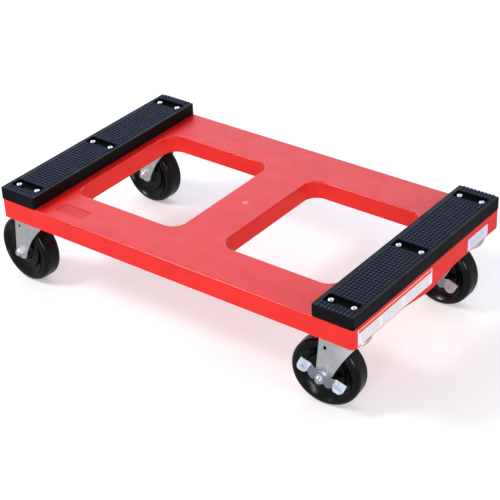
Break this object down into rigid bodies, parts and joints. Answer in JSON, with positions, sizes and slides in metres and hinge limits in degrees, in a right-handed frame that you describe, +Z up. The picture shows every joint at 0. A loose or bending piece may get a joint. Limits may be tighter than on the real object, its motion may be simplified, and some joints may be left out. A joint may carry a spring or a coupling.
{
  "type": "furniture dolly",
  "caption": "Low flat moving dolly: ribbed plastic deck with two openings, raised rubber end pads, swivel casters and see-saw brakes on one end.",
  "frame": {"origin": "on the floor under the middle of the whole dolly, wheels included; the deck centre stands 31 mm ahead of it in +X because all four casters trail towards -X", "axes": "+X along the deck towards the braked front end, +Y left, +Z up from the floor"},
  "size_m": [0.8246, 0.454, 0.215],
  "materials": {
    "red_polyethylene": "injection-moulded high-density polyethylene, fine satin texture",
    "black_rubber": "moulded rubber with a raised anti-slip grid on the top face",
    "zinc_steel": "pressed sheet steel, clear zinc plated",
    "bright_fasteners": "turned and headed steel, bright zinc plated",
    "bearing_steel": "ground bearing steel, lightly greased",
    "black_wheel": "hard rubber, moulded in one piece, smooth and slightly glossy",
    "label_paper": "blank vinyl sticker"
  },
  "bodies": {
    "deck": {"deck": "red_polyethylene", "end_pad_front": "black_rubber", "end_pad_rear": "black_rubber", "label_large": "label_paper", "label_small": "label_paper", "pad_screw_01": "bright_fasteners", "pad_screw_02": "bright_fasteners", "pad_screw_03": "bright_fasteners", "pad_screw_04": "bright_fasteners", "pad_screw_05": "bright_fasteners", "pad_screw_06": "bright_fasteners", "pad_screw_07": "bright_fasteners", "pad_screw_08": "bright_fasteners", "pad_screw_09": "bright_fasteners", "pad_screw_10": "bright_fasteners", "pad_screw_11": "bright_fasteners", "pad_screw_12": "bright_fasteners", "top_plate_front_left": "zinc_steel", "raceway_front_left": "zinc_steel", "kingpin_front_left": "zinc_steel", "top_plate_front_right": "zinc_steel", "raceway_front_right": "zinc_steel", "kingpin_front_right": "zinc_steel", "top_plate_rear_left": "zinc_steel", "raceway_rear_left": "zinc_steel", "kingpin_rear_left": "zinc_steel", "top_plate_rear_right": "zinc_steel", "raceway_rear_right": "zinc_steel", "kingpin_rear_right": "zinc_steel"},
    "fork_front_left": {"fork_front_left": "zinc_steel", "ball_ring_front_left": "bearing_steel", "axle_bolt_front_left": "bright_fasteners", "axle_nut_front_left": "bright_fasteners", "axle_bushing_front_left": "bearing_steel"},
    "wheel_front_left": {"wheel_front_left": "black_wheel", "roller_bearing_front_left": "bearing_steel"},
    "brake_front_left": {"brake_lever_front_left": "zinc_steel"},
    "fork_front_right": {"fork_front_right": "zinc_steel", "ball_ring_front_right": "bearing_steel", "axle_bolt_front_right": "bright_fasteners", "axle_nut_front_right": "bright_fasteners", "axle_bushing_front_right": "bearing_steel"},
    "wheel_front_right": {"wheel_front_right": "black_wheel", "roller_bearing_front_right": "bearing_steel"},
    "brake_front_right": {"brake_lever_front_right": "zinc_steel"},
    "fork_rear_left": {"fork_rear_left": "zinc_steel", "ball_ring_rear_left": "bearing_steel", "axle_bolt_rear_left": "bright_fasteners", "axle_nut_rear_left": "bright_fasteners", "axle_bushing_rear_left": "bearing_steel"},
    "wheel_rear_left": {"wheel_rear_left": "black_wheel", "roller_bearing_rear_left": "bearing_steel"},
    "fork_rear_right": {"fork_rear_right": "zinc_steel", "ball_ring_rear_right": "bearing_steel", "axle_bolt_rear_right": "bright_fasteners", "axle_nut_rear_right": "bright_fasteners", "axle_bushing_rear_right": "bearing_steel"},
    "wheel_rear_right": {"wheel_rear_right": "black_wheel", "roller_bearing_rear_right": "bearing_steel"}
  },
  "joints": [
    {"name": "swivel_front_left", "type": "hinge", "parent": "deck", "child": "fork_front_left", "pos_m": [0.372, 0.1775, 0.146], "axis": [0, 0, 1], "continuous": true},
    {"name": "spin_front_left", "type": "hinge", "parent": "fork_front_left", "child": "wheel_front_left", "pos_m": [0.33401, 0.17836, 0.0635], "axis": [-0.0227, -0.9997, 0], "continuous": true},
    {"name": "brake_front_left", "type": "hinge", "parent": "fork_front_left", "child": "brake_front_left", "pos_m": [0.33401, 0.17836, 0.0635], "axis": [-0.0227, -0.9997, 0], "range_deg": [0, 41.4]},
    {"name": "swivel_front_right", "type": "hinge", "parent": "deck", "child": "fork_front_right", "pos_m": [0.372, -0.1775, 0.146], "axis": [0, 0, 1], "continuous": true},
    {"name": "spin_front_right", "type": "hinge", "parent": "fork_front_right", "child": "wheel_front_right", "pos_m": [0.33424, -0.1818, 0.0635], "axis": [0.1132, -0.9936, 0], "continuous": true},
    {"name": "brake_front_right", "type": "hinge", "parent": "fork_front_right", "child": "brake_front_right", "pos_m": [0.33424, -0.1818, 0.0635], "axis": [0.1132, -0.9936, 0], "range_deg": [0, 41.4]},
    {"name": "swivel_rear_left", "type": "hinge", "parent": "deck", "child": "fork_rear_left", "pos_m": [-0.31, 0.1775, 0.146], "axis": [0, 0, 1], "continuous": true},
    {"name": "spin_rear_left", "type": "hinge", "parent": "fork_rear_left", "child": "wheel_rear_left", "pos_m": [-0.3479, 0.18022, 0.0635], "axis": [-0.0715, -0.9974, 0], "continuous": true},
    {"name": "swivel_rear_right", "type": "hinge", "parent": "deck", "child": "fork_rear_right", "pos_m": [-0.31, -0.1775, 0.146], "axis": [0, 0, 1], "continuous": true},
    {"name": "spin_rear_right", "type": "hinge", "parent": "fork_rear_right", "child": "wheel_rear_right", "pos_m": [-0.34784, -0.17399, 0.0635], "axis": [-0.0924, -0.9957, 0], "continuous": true}
  ]
}
